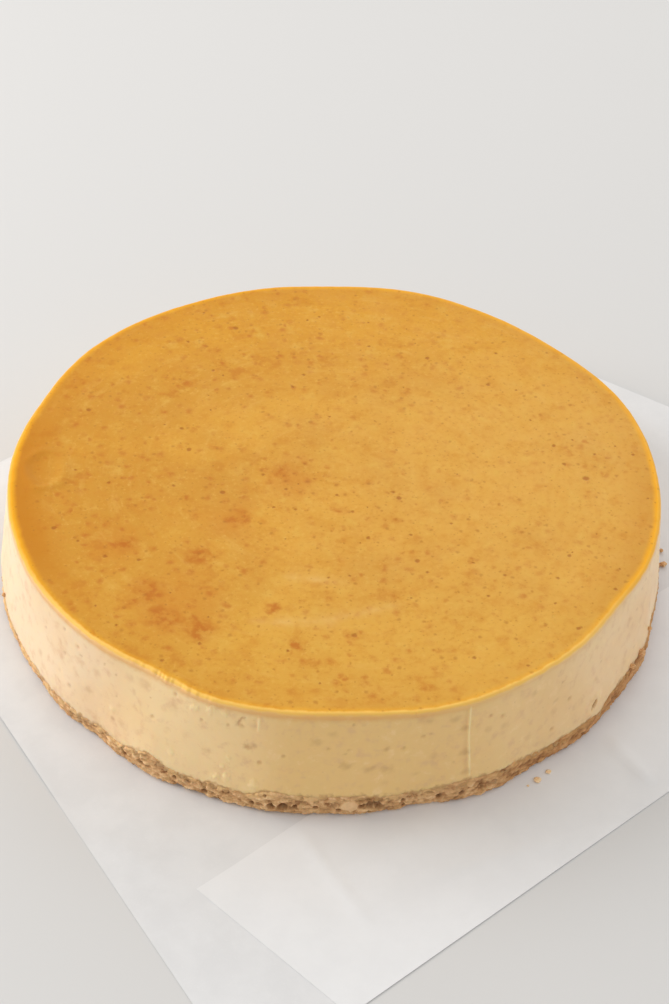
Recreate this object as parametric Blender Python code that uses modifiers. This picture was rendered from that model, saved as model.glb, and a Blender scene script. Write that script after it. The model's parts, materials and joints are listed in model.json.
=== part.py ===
"""A baked pumpkin cheesecake, turned out of its springform ring, on baking parchment.

Metres, +Z up. The origin lies on the cake's axis, at the underside of the parchment sheet.
The cake is three bonded layers: a pressed crumb crust, the set filling, and the browned top
that formed over it in the oven. It stands on a torn sheet of parchment, with a parchment
strip tucked under its front-right edge, and a few crumbs of the crust lie round its foot.
"""

import math
import random

import bmesh
import bpy
from mathutils import Euler, Vector

# Driving dimensions
PAN_DIAMETER = 0.229  # inside a nine-inch springform ring
CAKE_HEIGHT = 0.0406
TOP_SHRINK = 0.0053  # the set filling draws in from the ring towards its top edge
CRUST_EDGE_HEIGHT = 0.0082  # crumbs pressed a little way up the ring
CRUST_FLOOR = 0.0066
SKIN_THICKNESS = 0.0014
SKIN_LIP = 0.0032  # how far the browned top turns down over the filling
SKIN_LIP_THICKNESS = 0.0012
PAPER_THICKNESS = 0.0004
GAP = 0.0003  # kept between pieces that touch or are bonded

# Parchment, in a frame turned about the cake's axis: u runs along the strip, v across it
PAPER_TURN = math.radians(41)
SHEET_CORNERS = (
    (-0.1470, -0.1445),
    (0.1610, -0.1445),
    (0.1580, -0.0140),
    (0.1180, 0.1170),
    (-0.1180, 0.1150),
)
STRIP_CORNERS = (
    (-0.1115, -0.1445),
    (0.1500, -0.1445),
    (0.1500, -0.0815),
    (-0.1200, -0.0840),
)

# Crumbs, from (angle round the cake in degrees, distance out from the crust, size)
SHEET_CRUMBS = (
    (2.0, 0.0024, 0.0024),
    (5.5, 0.0030, 0.0016),
    (62.0, 0.0040, 0.0021),
    (97.0, 0.0030, 0.0018),
    (160.0, 0.0045, 0.0022),
    (192.0, 0.0022, 0.0017),
)
STRIP_CRUMBS = ((-55.1, 0.0028, 0.0024), (-52.6, 0.0020, 0.0019), (-56.9, 0.0032, 0.0012))
# Crumbs stuck to the side, from (angle, height above the cake's foot, size)
CLINGING_CRUMBS = (
    (-20.5, 0.0125, 0.0017),
    (-25.0, 0.0096, 0.0028),
    (-28.5, 0.0092, 0.0022),
    (197.0, 0.0084, 0.0018),
)

# Derived heights and radii
STRIP_BASE = PAPER_THICKNESS + GAP
CAKE_BASE = STRIP_BASE + PAPER_THICKNESS + GAP
CAKE_TOP = CAKE_BASE + CAKE_HEIGHT
CRUST_TOP = CAKE_BASE + CRUST_EDGE_HEIGHT
CRUST_RADIUS = PAN_DIAMETER / 2
TOP_RADIUS = CRUST_RADIUS - TOP_SHRINK
TURN_STEPS = 96

# Colours: (linear red, green, blue), roughness
PARCHMENT = ((0.80, 0.78, 0.75), 0.55)
CRUMB = ((0.36, 0.19, 0.085), 0.9)
CUSTARD = ((0.80, 0.56, 0.29), 0.45)
BROWNED = ((0.72, 0.33, 0.055), 0.35)


def clear_scene():
    for obj in list(bpy.data.objects):
        bpy.data.objects.remove(obj)


def material(name, finish):
    colour, roughness = finish
    made = bpy.data.materials.new(name)
    made.use_nodes = True
    shader = made.node_tree.nodes["Principled BSDF"]
    shader.inputs["Base Color"].default_value = (*colour, 1)
    shader.inputs["Roughness"].default_value = roughness
    shader.inputs["Metallic"].default_value = 0
    return made


def add(name, data, collection, finish):
    """Links a new object for this mesh or curve, and gives it its material."""
    obj = bpy.data.objects.new(name, data)
    collection.objects.link(obj)
    data.materials.append(finish)
    return obj


def arc(centre, radius, start, end, count):
    """Points of a profile's rounded edge, with the angles in degrees from the outward direction."""
    turns = [math.radians(start + (end - start) * i / count) for i in range(count + 1)]
    return [(centre[0] + radius * math.cos(t), centre[1] + radius * math.sin(t)) for t in turns]


def side_radius(height):
    """The radius of the side: the crust's up to its top, then leaning in to the top edge."""
    up = max(0, (height - CRUST_TOP) / (CAKE_TOP - CRUST_TOP))
    return CRUST_RADIUS - TOP_SHRINK * up


def turned(name, profile, collection, finish):
    """A solid of revolution, from a profile that runs out from the axis, down, and back to it."""
    mesh = bpy.data.meshes.new(name)
    edges = [(i, i + 1) for i in range(len(profile) - 1)]
    mesh.from_pydata([(radius, 0, height) for radius, height in profile], edges, [])
    obj = add(name, mesh, collection, finish)
    screw = obj.modifiers.new("turn", "SCREW")
    screw.steps = screw.render_steps = TURN_STEPS
    screw.use_merge_vertices = True
    screw.merge_threshold = 0.00001
    screw.use_smooth_shade = True
    return obj


def crumb_crust(collection, finish):
    """The pressed base: a shallow dish, with a low rim where the crumbs met the ring."""
    edge = 0.0012
    floor = CAKE_BASE + CRUST_FLOOR
    profile = [(0, floor), (CRUST_RADIUS - 0.016, floor), (CRUST_RADIUS - 0.006, CRUST_TOP)]
    profile += arc((CRUST_RADIUS - edge, CRUST_TOP - edge), edge, 90, 0, 3)
    profile += arc((CRUST_RADIUS - edge / 2, CAKE_BASE + edge / 2), edge / 2, 0, -90, 2)
    profile += [(0, CAKE_BASE)]
    return turned("crumb_crust", profile, collection, finish)


def filling(collection, finish):
    """The set custard: it fills the crust's dish, and its top edge is stepped for the browned top."""
    edge = 0.0008
    top = CAKE_TOP - SKIN_THICKNESS - GAP
    step = CAKE_TOP - SKIN_LIP - GAP
    shoulder = TOP_RADIUS - SKIN_LIP_THICKNESS - GAP
    foot = CRUST_TOP + GAP
    profile = [
        (0, top),
        (shoulder - edge, top),
        (shoulder, top - edge),
        (shoulder, step),
        (side_radius(step), step),
        (side_radius(foot + edge), foot + edge),
        (side_radius(foot) - edge, foot),
        (CRUST_RADIUS - 0.006, foot),
        (CRUST_RADIUS - 0.016, CAKE_BASE + CRUST_FLOOR + GAP),
        (0, CAKE_BASE + CRUST_FLOOR + GAP),
    ]
    return turned("filling", profile, collection, finish)


def baked_top(collection, finish):
    """The browned skin: a flat lid whose rounded edge turns down over the filling's side."""
    edge = 0.0016
    under = CAKE_TOP - SKIN_THICKNESS
    inside = TOP_RADIUS - SKIN_LIP_THICKNESS
    lip_end = CAKE_TOP - SKIN_LIP
    profile = [(0, CAKE_TOP)]
    profile += arc((TOP_RADIUS - edge, CAKE_TOP - edge), edge, 90, 0, 4)
    profile += [(side_radius(lip_end), lip_end), (inside, lip_end), (inside, under), (0, under)]
    return turned("baked_top", profile, collection, finish)


def parchment(name, corners, base, collection, finish):
    """A flat piece of parchment from its corners, with its underside at base."""
    curve = bpy.data.curves.new(name, "CURVE")
    curve.dimensions = "2D"
    curve.fill_mode = "BOTH"
    curve.extrude = PAPER_THICKNESS / 2
    spline = curve.splines.new("POLY")
    spline.points.add(len(corners) - 1)
    for point, (u, v) in zip(spline.points, corners, strict=True):
        point.co = (u, v, 0, 1)
    spline.use_cyclic_u = True
    obj = add(name, curve, collection, finish)
    obj.location.z = base + PAPER_THICKNESS / 2
    obj.rotation_euler.z = PAPER_TURN
    return obj


def crumb_mesh(name, size):
    """An uneven lump about this wide, turned at random, always the same for the same name."""
    rng = random.Random(name)
    lump = bmesh.new()
    bmesh.ops.create_icosphere(lump, subdivisions=2, radius=size / 2)
    stretch = Vector((rng.uniform(0.8, 1.15), rng.uniform(0.8, 1.15), rng.uniform(0.65, 0.9)))
    turn = Euler((rng.uniform(-0.3, 0.3), rng.uniform(-0.3, 0.3), rng.uniform(0, math.tau)))
    for vertex in lump.verts:
        vertex.co *= rng.uniform(0.88, 1.08)
        vertex.co *= stretch
        vertex.co.rotate(turn)
    mesh = bpy.data.meshes.new(name)
    lump.to_mesh(mesh)
    lump.free()
    return mesh


def crumb(name, degrees, radius, base, size, collection, finish):
    """One crumb whose lowest point is at base, this far from the axis."""
    mesh = crumb_mesh(name, size)
    lowest = min(vertex.co.z for vertex in mesh.vertices)
    angle = math.radians(degrees)
    obj = add(name, mesh, collection, finish)
    obj.location = (radius * math.cos(angle), radius * math.sin(angle), base - lowest)
    return obj


def crumbs(collection, finish):
    """Crumbs of the crust: loose on the sheet and on the strip, and stuck to the cake's side."""
    on_sheet = PAPER_THICKNESS + GAP
    on_strip = STRIP_BASE + PAPER_THICKNESS + GAP
    for kind, places, base in (("sheet", SHEET_CRUMBS, on_sheet), ("strip", STRIP_CRUMBS, on_strip)):
        for number, (degrees, out, size) in enumerate(places, 1):
            name = f"{kind}_crumb_{number}"
            crumb(name, degrees, CRUST_RADIUS + out, base, size, collection, finish)
    for number, (degrees, height, size) in enumerate(CLINGING_CRUMBS, 1):
        name = f"clinging_crumb_{number}"
        radius = side_radius(CAKE_BASE + height - size / 2) + GAP + 0.6 * size
        crumb(name, degrees, radius, CAKE_BASE + height - size / 2, size, collection, finish)


def main():
    clear_scene()
    cake = bpy.data.collections.new("pumpkin_cheesecake")
    bpy.context.scene.collection.children.link(cake)
    paper = material("parchment", PARCHMENT)
    biscuit = material("biscuit_crumb", CRUMB)
    parchment("parchment_sheet", SHEET_CORNERS, 0, cake, paper)
    parchment("parchment_strip", STRIP_CORNERS, STRIP_BASE, cake, paper)
    crumb_crust(cake, biscuit)
    filling(cake, material("pumpkin_custard", CUSTARD))
    baked_top(cake, material("browned_custard", BROWNED))
    crumbs(cake, biscuit)


main()
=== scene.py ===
import json
import math
import random

import bmesh
import bpy
import numpy as np
from mathutils import Matrix, Vector, geometry, noise


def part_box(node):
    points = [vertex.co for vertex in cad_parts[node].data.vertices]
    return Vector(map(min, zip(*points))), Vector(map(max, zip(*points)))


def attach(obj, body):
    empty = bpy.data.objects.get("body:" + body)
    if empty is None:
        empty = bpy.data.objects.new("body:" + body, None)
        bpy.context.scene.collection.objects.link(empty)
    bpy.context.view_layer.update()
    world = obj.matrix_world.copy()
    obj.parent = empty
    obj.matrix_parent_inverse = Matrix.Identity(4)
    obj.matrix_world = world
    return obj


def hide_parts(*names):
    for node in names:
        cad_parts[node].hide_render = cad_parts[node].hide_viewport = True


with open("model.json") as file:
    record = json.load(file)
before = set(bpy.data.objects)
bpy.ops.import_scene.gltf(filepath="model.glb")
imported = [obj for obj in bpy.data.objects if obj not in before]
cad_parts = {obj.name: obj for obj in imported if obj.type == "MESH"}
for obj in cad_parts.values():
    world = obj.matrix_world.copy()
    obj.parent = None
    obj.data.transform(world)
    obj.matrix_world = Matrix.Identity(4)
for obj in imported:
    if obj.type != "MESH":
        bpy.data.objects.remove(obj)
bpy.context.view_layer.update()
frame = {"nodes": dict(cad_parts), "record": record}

# ---- sizes, mostly from the frame
MM = 0.001
CRUST_LOW, CRUST_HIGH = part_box("crumb_crust")
TOP_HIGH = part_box("baked_top")[1]
BASE = CRUST_LOW.z
JUNCTION = CRUST_HIGH.z
TOP = TOP_HIGH.z
FOOT_RADIUS = CRUST_HIGH.x
RIM_RADIUS = TOP_HIGH.x - 0.5 * MM  # the lip is a little wider at its lower end
STRIP_PULL = next(j["axis"] for j in frame["record"]["behaviour"]["joints"] if j["name"] == "strip_pull")
PAPER_THICKNESS = 0.08 * MM
ROLLED_EDGE = 1.0 * MM  # the radius of the roll where the browned top turns down
LIP_DEPTH = 2.4 * MM  # how far down the side the browned top comes

# Where the cake's outline leaves the round: (degrees round it, half width in degrees, mm out)
RIM_SHAPE = (
    (22, 10, 1.3), (-33, 7, -1.8), (-69, 8, 1.1), (-107, 6, 1.2), (-120, 6, -1.3), (75, 7, 0.9),
    (46, 9, -0.6), (93, 7, -0.9), (141, 9, 1.1), (164, 7, -1.2), (-85, 5, -0.6), (-150, 9, 0.3),
)
# The crust's foot, as (degrees round it, mm out from its nominal radius)
FOOT_SHAPE = (
    (-161, -0.8), (-150, -1.6), (-135, -1.3), (-129, -2.0), (-125, -1.3), (-118, 0.2), (-109, -0.4),
    (-98, 0.4), (-90, -0.7), (-85, -0.4), (-80, -1.2), (-75, -2.1), (-71.5, -2.0), (-70, -0.5),
    (-62, -0.1), (-54, -2.2), (-43, -0.9), (-36, -1.6), (-28, -1.5), (-22, -0.7), (-16, -2.0),
    (5, -0.9), (35, 0.4), (80, -0.3), (120, -0.7), (165, 0.1),
)
# The crust's upper edge, as (degrees, mm above the foot)
CRUST_EDGE = (
    (-170, 3.6), (-156, 3.0), (-150, 2.6), (-146, 4.6), (-143, 3.9), (-136, 5.2), (-132.5, 6.3),
    (-130.3, 5.2), (-128, 7.0), (-124, 5.0), (-120, 8.3), (-117.5, 9.9), (-114.5, 7.0), (-111.5, 6.0),
    (-107, 6.8), (-101, 6.1), (-98.5, 9.6), (-94, 8.7), (-90, 8.0), (-85, 9.2), (-81, 7.2), (-76, 6.7),
    (-72, 6.9), (-69, 9.0), (-62, 8.0), (-60, 8.4), (-55.7, 7.0), (-52.5, 5.6), (-47, 6.9), (-42, 6.5),
    (-38.8, 4.0), (-36.5, 7.8), (-30, 8.2), (-26.7, 7.4), (-22, 9.4), (-8, 8.4), (20, 7.2), (45, 8.8),
    (75, 6.9), (100, 8.6), (130, 7.0), (160, 5.4),
)
# Holes in the crust: (degrees, mm above the foot, half width in mm, depth in mm)
CRUST_HOLES = (
    (-83.7, 7.2, 1.1, 2.2), (-82.6, 7.0, 1.2, 2.5), (-81.3, 6.2, 1.2, 2.1), (-83.6, 4.6, 0.9, 2.2),
    (-82.4, 4.2, 1.5, 1.4), (-81.2, 3.6, 1.2, 1.4), (-82.6, 1.2, 0.8, 1.2), (-87.3, 2.9, 0.8, 1.4),
    (-95.7, 3.4, 1.5, 2.4), (-97.7, 3.5, 1.2, 1.9), (-94.0, 3.9, 0.8, 1.4), (-100.6, 3.4, 0.9, 1.4),
    (-98.5, 8.1, 0.7, 0.9), (-90.8, 3.7, 0.7, 1.2), (-106.8, 6.0, 1.2, 2.0), (-108.5, 5.8, 1.1, 1.9),
    (-108.3, 2.2, 1.1, 1.8), (-104.7, 5.0, 1.0, 1.1), (-113.3, 4.3, 0.9, 1.2), (-111.0, 5.2, 1.0, 1.4),
    (-77.2, 4.4, 0.7, 1.7), (-77.1, 1.9, 0.6, 1.4), (-76.2, 5.6, 0.7, 1.2), (-71.3, 3.3, 0.8, 1.6),
    (-67.8, 3.8, 0.9, 1.0), (-123.0, 3.0, 0.8, 0.8), (35, 4.0, 1.3, 1.4), (88, 5.0, 1.0, 1.4),
)
SMOOTH_CHUNK = (-85.6, 5.1, 2.5)  # degrees, mm above the foot, half width in mm
# Smudges of spice in the side: (degrees, mm below the top, half width in mm, strength)
SIDE_SMUDGES = (
    (-131.5, 22.1, 1.3, 0.5), (-120.0, 6.2, 1.8, 0.4), (-138.8, 23.6, 0.8, 0.4), (-107.9, 20.5, 1.0, 0.6),
    (-101.5, 14.9, 1.2, 0.9), (-100.6, 14.2, 0.8, 0.6), (-91.1, 10.5, 1.3, 0.6), (-86.5, 19.5, 1.3, 0.6),
    (-82.8, 21.2, 1.2, 0.6), (-80.3, 13.7, 0.8, 0.8), (-80.1, 21.9, 1.5, 0.5), (-75.3, 25.8, 0.8, 0.5),
    (-69.6, 5.2, 1.2, 0.6), (-67.9, 9.8, 1.1, 0.6), (-67.8, 19.3, 1.2, 0.7), (-67.6, 27.4, 1.2, 0.6),
    (-60.5, 14.1, 1.3, 0.5), (-54.9, 7.3, 0.9, 0.4), (-50.2, 15.9, 0.8, 0.4), (-88.6, 7.5, 1.0, 0.4),
    (-114.7, 9.0, 2.0, 0.3), (-125.7, 26.5, 0.7, 1.0), (-73.6, 4.3, 0.9, 0.5),
)
# Lumps and smears on the side: (degrees, mm below the top, half width in mm, mm out)
SIDE_LUMPS = (
    (-110.6, 5.2, 1.3, 0.35), (-107.6, 4.4, 1.5, 0.28), (-105.4, 4.0, 1.1, 0.24),
    (-104.6, 29.0, 1.4, 0.55), (-106.5, 30.0, 1.2, 0.50), (-100.5, 29.3, 1.5, 0.35),
    (-114.0, 26.5, 0.8, 0.35), (-125.9, 22.6, 1.1, 0.30), (-105.5, 25.1, 0.8, 0.25),
    (-104.6, 20.9, 0.7, 0.25),
)
SIDE_PITS = 90
# Seams that the ring's clasp left up the side: (degrees, lowest and highest mm below the top, mm out)
SEAMS = ((-67.0, 31.0, 2.2, 0.42), (-99.9, 9.5, 3.5, 0.34))
SCRATCH = (-102.4, 6.4)  # the middle of a curved scratch in the side: degrees, mm below the top
NOTCH = (-41.0, 28.8)  # the middle of a slanting notch in the side: degrees, mm below the top
# Folds in the parchment, in mm over the table: (start, end, how high, half width)
SHEET_CREASES = (
    ((-98, -84), (-80, -112), 0.7, 2.5),
    ((-72, -120), (-30, -150), 0.35, 3.0),
    ((118, 30), (150, 20), 0.5, 3.0),
    ((-118, 20), (-140, -10), 0.5, 4.0),
)
STRIP_CREASES = (
    ((-8, -117), (16, -153), 0.6, 2.2),
    ((91, -78), (103, -94), 0.9, 2.0),
    ((30, -135), (75, -118), 0.35, 3.5),
)
# Browner patches, wide clouds and dark specks of the top, in mm from the axis: (x, y, half width). The
# dark specks are partly spice and partly painted shade in small pits.
TOP_PATCHES = (
    (-31, -25, 5.5), (-42, -44, 6.5), (-57, -61, 8.0), (-51, -72, 8.0), (-39, -77, 7.0), (-18, -66, 3.2),
    (8, -76, 4.0), (-9, -81, 4.0), (-18, 0, 4.5), (2, -19, 3.0), (22, -23, 2.4), (45, -41, 2.8),
    (-66, -40, 5.0),
)
TOP_CLOUDS = ((-48, -66, 24), (-34, -26, 15), (-70, -40, 14), (-16, -4, 13))
TOP_SPECKS = (
    (84.5, 2, 1.6), (77.6, 9, 1.0), (74.7, 18.5, 1.0), (21.4, -12, 1.3), (27.4, -42, 1.2),
    (11.5, -32, 1.0), (90, -51, 0.9), (77, -69, 0.9), (-86.5, 26.6, 1.2), (-50, 8, 1.2),
    (-53.5, 19, 1.0), (-72, -46, 1.1), (-37, -13, 1.2), (-39, 78, 1.4), (31.5, 65, 1.1),
    (53, 51, 1.0), (-90, -34, 1.2), (8, -76, 1.3),
)
# Pale streaks in the top, in mm: (start, end)
TOP_STREAKS = (((-24, -72), (2, -71)), ((-4, -71), (22, -62)), ((-15, -51), (5, -54)))
TORN_LIP = (-116, 4.5)  # the stretch where the lip is torn: degrees and half width in degrees
DENT = (-97.5, -5.5)  # the middle of a ringed dent at the top's left edge, in mm from the axis


def srgb(red, green, blue):
    """A linear colour from its 0 to 255 values on a screen."""
    shares = (red / 255, green / 255, blue / 255)
    return tuple(c / 12.92 if c < 0.04045 else ((c + 0.055) / 1.055) ** 2.4 for c in shares)


CUSTARD_CREAM = srgb(248, 217, 175)
CUSTARD_TAN = srgb(243, 206, 158)
CUSTARD_FRONT_PAINTED_SHADE = srgb(240, 201, 134)
SKIN_GOLD = srgb(218, 158, 54)
SKIN_PALE = srgb(223, 172, 86)
SKIN_AMBER = srgb(206, 145, 47)
SKIN_BROWN = srgb(192, 114, 34)


# ---- fields over the cake
def wrapped(degrees):
    """The same angle, between -180 and 180."""
    return (degrees + 180) % 360 - 180


def arc_from(degrees, angles, radius):
    """How far round the cake each angle in radians lies from this many degrees, in mm."""
    return wrapped(np.degrees(angles) - degrees) * math.radians(1) * radius / MM


def sum_of_bumps(angles, shape):
    """Metres out at each angle in radians, from a list of (degrees, half width, mm)."""
    total = np.zeros_like(angles)
    for centre, width, height in shape:
        away = wrapped(np.degrees(angles) - centre)
        total += height * MM * np.exp(-0.5 * (away / width) ** 2)
    return total


def around(angles, shape):
    """Metres at each angle in radians, run smoothly through the shape's (degrees, mm) points."""
    degrees, heights = np.array(shape).T
    steps = np.arange(-2.0, 2.1, 0.5)
    weights = np.exp(-0.5 * (steps / 0.9) ** 2)
    total = 0
    for step, weight in zip(steps, weights):
        total = total + weight * np.interp(np.degrees(angles) + step, degrees, heights, period=360)
    return total / weights.sum() * MM


def smoothstep(low, high, x):
    """0 where x is past low, 1 where it is past high, and smooth between them."""
    t = np.clip((x - low) / (high - low), 0, 1)
    return t * t * (3 - 2 * t)


def fractal(points, size, octaves, seed):
    """Fractal noise of about -1 to 1, whose largest features are this wide in metres."""
    shift = Vector((seed * 7.31, seed * 3.17, seed * 5.93))
    flat = points.reshape(-1, 3) / size
    values = [noise.fractal(Vector(p) + shift, 1.0, 2.0, octaves) for p in flat]
    return np.array(values).reshape(points.shape[:-1])


def grains(points, size, seed):
    """Packed grains this wide: how deep in its grain each point lies, and that grain's own number."""
    shift = Vector((seed * 4.7, seed * 9.1, seed * 2.3))
    depth, number = [], []
    for p in points.reshape(-1, 3) / size:
        distances, centres = noise.voronoi(Vector(p) + shift)
        depth.append(min(1.0, 1.8 * (distances[1] - distances[0])))
        number.append(noise.cell(centres[0] * 17.3))
    shape = points.shape[:-1]
    return np.array(depth).reshape(shape), (np.array(number).reshape(shape) + 1) / 2 % 1


def rim_radius(angles):
    """The radius of the browned top's rim."""
    return RIM_RADIUS + sum_of_bumps(angles, RIM_SHAPE)


def foot_radius(angles):
    """The radius of the crust's side."""
    return FOOT_RADIUS + around(angles, FOOT_SHAPE)


def junction_height(angles):
    """The height of the crust's upper edge."""
    return BASE + around(angles, CRUST_EDGE)


def side_radius(angles, heights):
    """The smooth side: upright over the crust, then leaning in to the rim."""
    up = np.clip((heights - JUNCTION) / (TOP - JUNCTION), 0, 1)
    foot = foot_radius(angles)
    return foot + (rim_radius(angles) - foot) * up


def on_circle(angles, radii, heights):
    """Points from cylindrical coordinates, as an array whose last axis is x, y, z."""
    angles, radii, heights = np.broadcast_arrays(angles, radii, heights)
    return np.stack([radii * np.cos(angles), radii * np.sin(angles), heights], axis=-1)


# ---- meshes
def new_object(name, mesh, material):
    """Links a smooth-shaded object for this mesh, with its material."""
    obj = bpy.data.objects.new(name, mesh)
    bpy.context.scene.collection.objects.link(obj)
    mesh.materials.append(material)
    mesh.shade_smooth()
    return obj


def lathe(name, rows, material, attributes):
    """A closed skin through rows of points, each a ring round the axis, with a point at each end.

    rows is an array of (row, column, 3), from the lowest middle ring out, up and back in to the axis.
    attributes are values for the same rows and columns, by name.
    """
    count, columns = rows.shape[:2]
    poles = [rows[0].mean(axis=0), rows[-1].mean(axis=0)]
    poles[0][:2] = poles[1][:2] = 0
    points = np.concatenate([rows.reshape(-1, 3), poles])
    here = np.arange(count * columns).reshape(count, columns)
    turned = np.roll(here, -1, axis=1)
    quads = np.stack([here[:-1], turned[:-1], turned[1:], here[1:]], axis=-1).reshape(-1, 4)
    low, high = count * columns, count * columns + 1
    fans = [(low, b, a) for a, b in zip(here[0].tolist(), turned[0].tolist())]
    fans += [(high, a, b) for a, b in zip(here[-1].tolist(), turned[-1].tolist())]
    mesh = bpy.data.meshes.new(name)
    mesh.from_pydata(points.tolist(), [], quads.tolist() + fans)
    for label, values in attributes.items():
        layer = mesh.attributes.new(label, "FLOAT", "POINT")
        ends = [values[0].mean(), values[-1].mean()]
        layer.data.foreach_set("value", np.concatenate([values.ravel(), ends]).astype(np.float32))
    return new_object(name, mesh, material)


def round_angles(columns, close_ups):
    """Angles round the cake in radians, closer together at each (degrees, half width) of close_ups."""
    fine = np.linspace(-math.pi, math.pi, 40 * columns, endpoint=False)
    weight = np.ones_like(fine)
    for centre, width in close_ups:
        weight += 4 * np.exp(-0.5 * (wrapped(np.degrees(fine) - centre) / width) ** 2)
    steps = np.concatenate([[0], np.cumsum(weight)])
    wanted = np.linspace(0, steps[-1], columns, endpoint=False)
    return np.interp(wanted, steps, np.concatenate([fine, [math.pi]]))


# ---- materials
class Graph:
    """A material's node tree, with a short call for each kind of node used here."""

    def __init__(self, name):
        self.material = bpy.data.materials.new(name)
        self.material.use_nodes = True
        self.tree = self.material.node_tree
        self.shader = self.tree.nodes["Principled BSDF"]
        self.place = self.add("ShaderNodeTexCoord").outputs["Object"]

    def add(self, kind, **settings):
        """A new node of this kind, with these settings."""
        made = self.tree.nodes.new(kind)
        for name, value in settings.items():
            setattr(made, name, value)
        return made

    def put(self, socket, value):
        """Links the socket to another one, or sets its value or its colour."""
        if isinstance(value, bpy.types.NodeSocket):
            self.tree.links.new(value, socket)
        elif isinstance(value, tuple) and socket.type == "RGBA":
            socket.default_value = (*value, 1)
        else:
            socket.default_value = value

    def across(self):
        """The x and y of the place, in metres."""
        parts = self.add("ShaderNodeSeparateXYZ")
        self.put(parts.inputs[0], self.place)
        return parts.outputs["X"], parts.outputs["Y"]

    def noise(self, size, detail=3, roughness=0.5, place=None):
        """Noise whose features are about this wide, in metres."""
        made = self.add("ShaderNodeTexNoise")
        self.put(made.inputs["Vector"], place or self.place)
        self.put(made.inputs["Scale"], 1 / size)
        self.put(made.inputs["Detail"], detail)
        self.put(made.inputs["Roughness"], roughness)
        return made.outputs["Fac"]

    def maths(self, operation, a, b=0.0, c=0.0):
        made = self.add("ShaderNodeMath", operation=operation)
        for socket, value in zip(made.inputs, (a, b, c)):
            self.put(socket, value)
        return made.outputs[0]

    def times(self, a, b):
        return self.maths("MULTIPLY", a, b)

    def span(self, value, low, high, to_low=0.0, to_high=1.0):
        """value taken from low..high to to_low..to_high, smoothly and no further."""
        made = self.add("ShaderNodeMapRange", interpolation_type="SMOOTHSTEP")
        for name, number in zip(("Value", "From Min", "From Max", "To Min", "To Max"),
                                (value, low, high, to_low, to_high)):
            self.put(made.inputs[name], number)
        return made.outputs["Result"]

    def mix(self, share, a, b, blend="MIX"):
        """Colour a with this share of b. Inputs 6 and 7 and output 2 are the node's colour sockets."""
        made = self.add("ShaderNodeMix", data_type="RGBA", blend_type=blend)
        self.put(made.inputs[0], share)
        self.put(made.inputs[6], a)
        self.put(made.inputs[7], b)
        return made.outputs[2]

    def tint(self, colour, mask, share, other):
        """colour, with this share of the other colour where the mask is 1."""
        return self.mix(self.times(mask, share), colour, other)

    def ramp(self, value, *stops):
        """A colour from (position, colour) stops."""
        made = self.add("ShaderNodeValToRGB")
        elements = made.color_ramp.elements
        while len(elements) < len(stops):
            elements.new(0.5)
        for element, (position, colour) in zip(elements, stops):
            element.position = position
            element.color = (*colour, 1)
        self.put(made.inputs["Fac"], value)
        return made.outputs["Color"]

    def attribute(self, name):
        return self.add("ShaderNodeAttribute", attribute_name=name).outputs["Fac"]

    def ragged(self, size, amount):
        """The place, pushed about by noise, so that what is drawn from it has uneven edges."""
        rough = self.add("ShaderNodeTexNoise")
        self.put(rough.inputs["Vector"], self.place)
        self.put(rough.inputs["Scale"], 1 / size)
        self.put(rough.inputs["Detail"], 2.0)
        centred = self.add("ShaderNodeVectorMath", operation="SUBTRACT")
        self.put(centred.inputs[0], rough.outputs["Color"])
        self.put(centred.inputs[1], (0.5, 0.5, 0.5))
        push = self.add("ShaderNodeVectorMath", operation="MULTIPLY_ADD")
        self.put(push.inputs[0], centred.outputs[0])
        self.put(push.inputs[1], (amount, amount, amount))
        self.put(push.inputs[2], self.place)
        return push.outputs[0]

    def blots(self, spots, place, softness):
        """1 on each of these (x, y, half width) spots of the top, in mm, and 0 away from them."""
        total = 0.0
        for x, y, half_width in spots:
            away = self.add("ShaderNodeVectorMath", operation="DISTANCE")
            self.put(away.inputs[0], place)
            self.put(away.inputs[1], (x * MM, y * MM, TOP))
            inside = self.span(away.outputs["Value"], half_width * MM, (1 - softness) * half_width * MM)
            total = self.maths("MAXIMUM", inside, total)
        return total

    def specks(self, spacing, radius, share, place, softness=0.45, flat=False):
        """1 on specks up to this radius, in this share of cells this far apart, and 0 elsewhere."""
        cells = self.add("ShaderNodeTexVoronoi", voronoi_dimensions="2D" if flat else "3D")
        self.put(cells.inputs["Vector"], place)
        self.put(cells.inputs["Scale"], 1 / spacing)
        parts = self.add("ShaderNodeSeparateColor")
        self.put(parts.inputs[0], cells.outputs["Color"])
        chosen = self.maths("LESS_THAN", parts.outputs[2], share)
        largest = radius / spacing
        reach = self.maths("MULTIPLY_ADD", parts.outputs[1], 0.6 * largest, 0.4 * largest)
        inside = self.maths("DIVIDE", cells.outputs["Distance"], reach)
        return self.times(self.span(inside, 1.0, 1.0 - softness), chosen)

    def bump(self, height, distance, strength, normal=None):
        """The normal of a surface raised by height times distance, over another normal if given."""
        made = self.add("ShaderNodeBump")
        self.put(made.inputs["Height"], height)
        self.put(made.inputs["Distance"], distance)
        self.put(made.inputs["Strength"], strength)
        if normal:
            self.put(made.inputs["Normal"], normal)
        return made.outputs["Normal"]

    def finish(self, colour, roughness, normal=None, **values):
        """Sets the shader, with other values by their sockets' names, and gives the material."""
        self.put(self.shader.inputs["Base Color"], colour)
        self.put(self.shader.inputs["Roughness"], roughness)
        if normal:
            self.put(self.shader.inputs["Normal"], normal)
        for name, value in values.items():
            self.put(self.shader.inputs[name.replace("_", " ")], value)
        return self.material


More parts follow.
